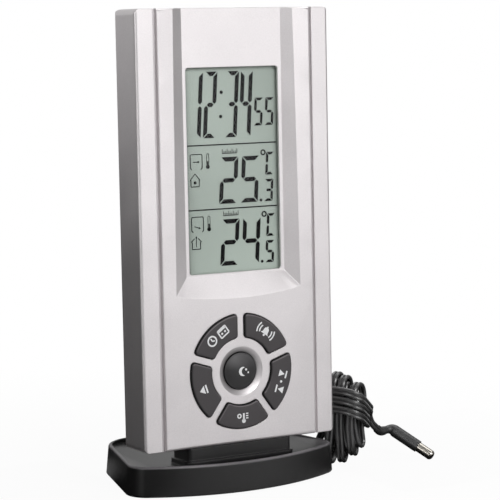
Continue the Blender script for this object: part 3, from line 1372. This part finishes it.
# %% Put every finish on its pieces
FINISH = {
    "stand": stand_black, "stand_feet": foot_rubber, "front_case": silver, "rear_cover": cover_silver,
    "battery_door": cover_silver, "case_screws": screw_steel, "window_lens": clear_lens,
    "lcd_panel": display_grey, "lcd_frame": white_plastic, "zebra_strip": contact_rubber,
    "circuit_board": board_green, "board_screws": screw_steel, "chip_blob": chip_epoxy,
    "quartz_crystal": crystal_can, "room_sensor": sensor_bead, "buzzer": buzzer_brass,
    "key_mat": mat_silicone, "key_centre": dome_black, "battery_cell": cell_jacket,
    "battery_spring": contact_nickel, "battery_plate": contact_nickel, "battery_leads": wire_red,
    "cable_grommet": grommet_rubber, "probe_leads": wire_red, "cable_lead": cable_black,
    "cable_hank": cable_black, "cable_tail": cable_black, "probe_sleeve": sleeve_grey,
    "probe_tip": tip_nickel}


def put(piece, material):
    """The piece's only material."""
    piece.data.materials.clear()
    piece.data.materials.append(material)


for node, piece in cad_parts.items():
    put(piece, FINISH.get(node, key_grey))
for node, piece in skins.items():
    put(piece, FINISH[node])
for piece in key_pieces.values():
    put(piece, key_grey)
for piece in signs:
    put(piece, sign_white)
for piece, material in ((dome, dome_black), (cable, cable_black), (sleeve, sleeve_grey), (tip, tip_nickel),
                        (reflector, display_grey), (segments, segment_ink)):
    put(piece, material)
print("nodes with a finish:", len(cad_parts))

# %% [markdown]
# ## Floor and light
# The photograph is a plain product shot on white. A pale floor takes a faint shadow, and
# shows white to the camera. A plain white floor would need so much light that the case burns
# out, so a Mix Shader swaps most of it for white wherever the camera looks at it directly.

# %% Floor
FLOOR = 3.0
FLOOR_GREY = (0.86, 0.86, 0.86, 1)
FLOOR_WHITE, FLOOR_FADE = 0.95, (0.05, 0.22)


def floor_finish(name):
    """Pale floor: FLOOR_WHITE of white to the camera near the object and all white away from it,
    with the rest of its shaded colour left in for the shadow."""
    material = bpy.data.materials.new(name)
    material.use_nodes = True
    tree = material.node_tree
    tree.nodes.clear()
    rays = Wire(tree)
    paper = rays.node("ShaderNodeBsdfDiffuse", None, {"Color": FLOOR_GREY})
    white = rays.node("ShaderNodeEmission", None, {"Color": (1, 1, 1, 1), "Strength": 1.0})
    seen = rays.node("ShaderNodeLightPath", out="Is Camera Ray")
    place = rays.node("ShaderNodeTexCoord", out="Object")
    away = rays.node("ShaderNodeVectorMath", {"operation": "LENGTH"}, {0: place}, "Value").band(*FLOOR_FADE)
    share = seen * (FLOOR_WHITE + (1 - FLOOR_WHITE) * away)
    mixed = rays.node("ShaderNodeMixShader", None, {0: share, 1: paper, 2: white})
    out = tree.nodes.new("ShaderNodeOutputMaterial")
    tree.links.new(mixed.socket, out.inputs["Surface"])
    return material


def flat_card(name, corners, material):
    """One quad through four corners, kept as stage."""
    mesh = bpy.data.meshes.new(name)
    mesh.from_pydata(corners, [], [(0, 1, 2, 3)])
    card = bpy.data.objects.new(name, mesh)
    bpy.context.scene.collection.objects.link(card)
    card.data.materials.append(material)
    return card


def level_card(name, x, y, z, material):
    """Level card between two x and two y, at a height z."""
    return flat_card(name, [(x[0], y[0], z), (x[1], y[0], z), (x[1], y[1], z), (x[0], y[1], z)], material)


floor = level_card("floor", (-FLOOR, FLOOR), (-FLOOR, FLOOR), 0, floor_finish("pale_floor"))
print("floor: %.0f m" % (2 * FLOOR))

# %% [markdown]
# Four large soft lamps light the object: one in front and above, a wide one at the right, a
# tall one at the left and one overhead. They are rectangles, because the long soft edges of
# their reflections are what makes silver paint look like paint.

# %% Lamps
CENTRE = (0.0, 0.0, 0.08)
# each lamp's place and size in metres, and its power in watts
LAMPS = {"front_lamp": ((0.04, -0.93, 0.62), (0.5, 0.42), 4.6),
         "right_lamp": ((0.54, -0.92, 0.25), (0.95, 0.42), 1.67),
         "side_lamp": ((-0.80, -0.46, 0.36), (0.3, 0.6), 1.6),
         "top_lamp": ((0.42, 0.16, 0.9), (0.8, 0.6), 2.8)}


def soft_lamp(name, place, aim, size, power):
    """Rectangular area lamp at a point, turned to another point."""
    data = bpy.data.lights.new(name, "AREA")
    data.shape = "RECTANGLE"
    data.size, data.size_y = size
    data.energy = power
    lamp = bpy.data.objects.new(name, data)
    bpy.context.scene.collection.objects.link(lamp)
    lamp.location = place
    lamp.rotation_mode = "QUATERNION"
    lamp.rotation_quaternion = Vector(np.subtract(aim, place).tolist()).to_track_quat("-Z", "Y")
    lamp.visible_camera = False
    return lamp


lamps = [soft_lamp(name, place, CENTRE, size, power) for name, (place, size, power) in LAMPS.items()]
print("lamps:", len(lamps))

# %% [markdown]
# The world is white to the camera and dim to the rest, with a brighter backdrop for gloss. The
# dark left side of the case is a reflection of the unlit room behind it, so a dark card stands
# there, and two small ones lie beside the stand to keep its walls black. The camera doesn't
# see them, and they throw no shadow.

# %% World and dark cards
DIM, BACKDROP = 0.1, 0.56
BEHIND = (0.25, 0.75)
DARK_CARD = [(-0.30, -0.06, 0.0), (0.10, 0.10, 0.0), (0.06, 0.40, 0.088), (-0.45, 0.12, 0.088)]
DARK_LEVEL = 0.045
LOW_CARDS = {"low_card_right": ((0.045, 0.15), (-0.055, 0.05)),
             "low_card_left": ((-0.30, -0.036), (-0.2, 0.05))}
LOW_Z, LOW_LEVEL = 0.0003, 0.01


def world_light():
    """White to the camera, through clear pieces, and to gloss where it lies behind the object;
    a dim grey for the rest."""
    world = bpy.data.worlds.new("studio")
    bpy.context.scene.world = world
    world.use_nodes = True
    tree = world.node_tree
    tree.nodes.clear()
    ray = Wire(tree)
    seen, gloss, through = (ray.node("ShaderNodeLightPath", out="Is %s Ray" % kind)
                            for kind in ("Camera", "Glossy", "Transmission"))
    behind = ray.node("ShaderNodeTexCoord", out="Generated").axis(1).band(*BEHIND)
    shown = ray.maths("MAXIMUM", seen, through)
    strength = shown + (1 - shown) * (DIM + BACKDROP * gloss * behind)
    back = ray.node("ShaderNodeBackground", None, {"Color": (1, 1, 1, 1), "Strength": strength})
    out = tree.nodes.new("ShaderNodeOutputWorld")
    tree.links.new(back.socket, out.inputs["Surface"])


def card_finish(name, level):
    """Plain matt card of one grey."""
    return shader(name, Base_Color=(level, level, level, 1), Roughness=0.9, Specular_IOR_Level=0.0)[0]


world_light()
dark_card = flat_card("dark_card", DARK_CARD, card_finish("card_dark", DARK_LEVEL))
dark_card.visible_diffuse = False
cards = [dark_card]
for name, (x, y) in LOW_CARDS.items():
    cards.append(level_card(name, x, y, LOW_Z, card_finish(name, LOW_LEVEL)))
for card in cards:
    card.visible_camera = False
    card.visible_shadow = False
bpy.context.scene.view_settings.view_transform = "Standard"
print("dark cards:", len(cards))
